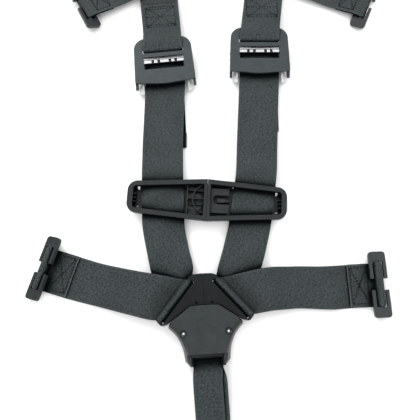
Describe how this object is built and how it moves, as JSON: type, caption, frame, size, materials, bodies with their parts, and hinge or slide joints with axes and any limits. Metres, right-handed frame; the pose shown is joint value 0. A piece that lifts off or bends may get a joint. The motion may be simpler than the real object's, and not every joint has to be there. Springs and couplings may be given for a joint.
{
  "type": "five-point harness",
  "caption": "Five-point restraint harness lying on its front: buckle with two tongues, chest clip, strap adjusters, webbing and steel anchor plates.",
  "frame": {"origin": "on the buckle's front face, on its centre line, 6 mm below the top edge of its rear cover", "axes": "+X across the wearer, +Y from the crotch strap up to the shoulder straps, +Z from the harness's front to its rear, away from the surface it lies on"},
  "size_m": [0.3358, 0.5302, 0.02],
  "materials": {
    "webbing": "black polyester webbing, fine twill weave with a soft sheen",
    "anchor_coating": "satin dark grey coating on pressed steel",
    "plate_coating": "satin charcoal coating on pressed steel",
    "buckle_plastic": "slightly glossy black moulded plastic",
    "grip_plastic": "satin black moulded plastic",
    "clip_plastic": "satin charcoal moulded plastic",
    "clip_button_plastic": "satin charcoal moulded plastic",
    "inner_plastic": "plain grey acetal",
    "red_plastic": "glossy red moulded plastic",
    "bright_plating": "bright plating",
    "plain_steel": "plain steel with fine rolling marks"
  },
  "bodies": {
    "harness": {"left_lower_webbing": "webbing", "right_lower_webbing": "webbing", "right_upper_webbing": "webbing", "left_shoulder_webbing": "webbing", "right_shoulder_webbing": "webbing", "right_tongue_blade": "plain_steel", "left_tongue_blade": "plain_steel", "right_tongue_grip": "grip_plastic", "left_tongue_grip": "grip_plastic", "clip_female": "clip_plastic", "left_adjuster_plate": "plate_coating", "left_adjuster_bar": "bright_plating", "left_adjuster_pin": "plain_steel", "left_adjuster_springs": "plain_steel", "right_adjuster_plate": "plate_coating", "right_adjuster_bar": "bright_plating", "right_adjuster_pin": "plain_steel", "right_adjuster_springs": "plain_steel"},
    "buckle": {"buckle_housing": "buckle_plastic", "buckle_cover": "buckle_plastic", "cover_screws": "bright_plating", "buckle_frame": "plain_steel", "latch_leaf": "plain_steel", "ejector_springs": "plain_steel", "crotch_webbing": "webbing"},
    "release_button": {"release_button": "red_plastic"},
    "ejector": {"ejector": "inner_plastic"},
    "clip_male": {"clip_male": "clip_plastic", "clip_latch_finger": "clip_plastic", "right_clip_webbing": "webbing"},
    "clip_button": {"clip_button": "clip_button_plastic"},
    "left_lever": {"left_adjuster_lever": "bright_plating"},
    "right_lever": {"right_adjuster_lever": "bright_plating"},
    "left_hip_anchor": {"left_hip_anchor": "anchor_coating"},
    "right_hip_anchor": {"right_hip_anchor": "anchor_coating"},
    "left_shoulder_anchor": {"left_shoulder_anchor": "anchor_coating"},
    "right_shoulder_anchor": {"right_shoulder_anchor": "anchor_coating"},
    "crotch_anchor": {"crotch_anchor": "anchor_coating"}
  },
  "joints": [
    {"name": "buckle_release", "type": "slide", "parent": "harness", "child": "buckle", "axis": [0.0663, -0.9978, 0], "range_m": [0, 0.045]},
    {"name": "button_press", "type": "slide", "parent": "buckle", "child": "release_button", "axis": [0, 0, 1], "range_m": [0, 0.003], "stiffness_N_per_m": 2500, "springref_m": -0.001, "deforming": ["latch_leaf"]},
    {"name": "ejector_slide", "type": "slide", "parent": "buckle", "child": "ejector", "axis": [-0.0663, 0.9978, 0], "range_m": [0, 0.006], "deforming": ["ejector_springs"]},
    {"name": "clip_release", "type": "slide", "parent": "harness", "child": "clip_male", "axis": [0.9987, -0.0506, 0], "range_m": [0, 0.03]},
    {"name": "clip_button_press", "type": "slide", "parent": "harness", "child": "clip_button", "axis": [0, 0, 1], "range_m": [0, 0.0025], "stiffness_N_per_m": 1500, "springref_m": -0.001, "deforming": ["clip_latch_finger"]},
    {"name": "left_lever_lift", "type": "hinge", "parent": "harness", "child": "left_lever", "pos_m": [-0.0402, 0.23938, 0.0048], "axis": [0.9945, 0.1045, 0], "range_deg": [0, 60], "stiffness_Nm_per_rad": 0.05, "springref_deg": -11.46},
    {"name": "right_lever_lift", "type": "hinge", "parent": "harness", "child": "right_lever", "pos_m": [0.05215, 0.25015, 0.0048], "axis": [1, 0, 0], "range_deg": [0, 60], "stiffness_Nm_per_rad": 0.05, "springref_deg": -11.46},
    {"name": "left_hip_anchor_turn", "type": "hinge", "parent": "harness", "child": "left_hip_anchor", "pos_m": [-0.142, 0.0388, 0.00525], "axis": [-0.2907, -0.9568, 0], "range_deg": [-24, 40]},
    {"name": "right_hip_anchor_turn", "type": "hinge", "parent": "harness", "child": "right_hip_anchor", "pos_m": [0.1522, 0.0246, 0.00525], "axis": [-0.0454, 0.999, 0], "range_deg": [0, 60]},
    {"name": "left_shoulder_anchor_turn", "type": "hinge", "parent": "harness", "child": "left_shoulder_anchor", "pos_m": [-0.1232, 0.304, 0.007], "axis": [-0.4695, 0.8829, 0], "range_deg": [-22, 40]},
    {"name": "right_shoulder_anchor_turn", "type": "hinge", "parent": "harness", "child": "right_shoulder_anchor", "pos_m": [0.1615, 0.3076, 0.004], "axis": [-0.3987, -0.9171, 0], "range_deg": [0, 60]},
    {"name": "crotch_anchor_turn", "type": "hinge", "parent": "buckle", "child": "crotch_anchor", "pos_m": [0.01047, -0.15765, 0.00525], "axis": [0.9978, 0.0663, 0], "range_deg": [0, 60]}
  ],
  "couplings": [
    {"joint": "ejector_slide", "follows": "buckle_release", "ratio": 0.13333}
  ]
}
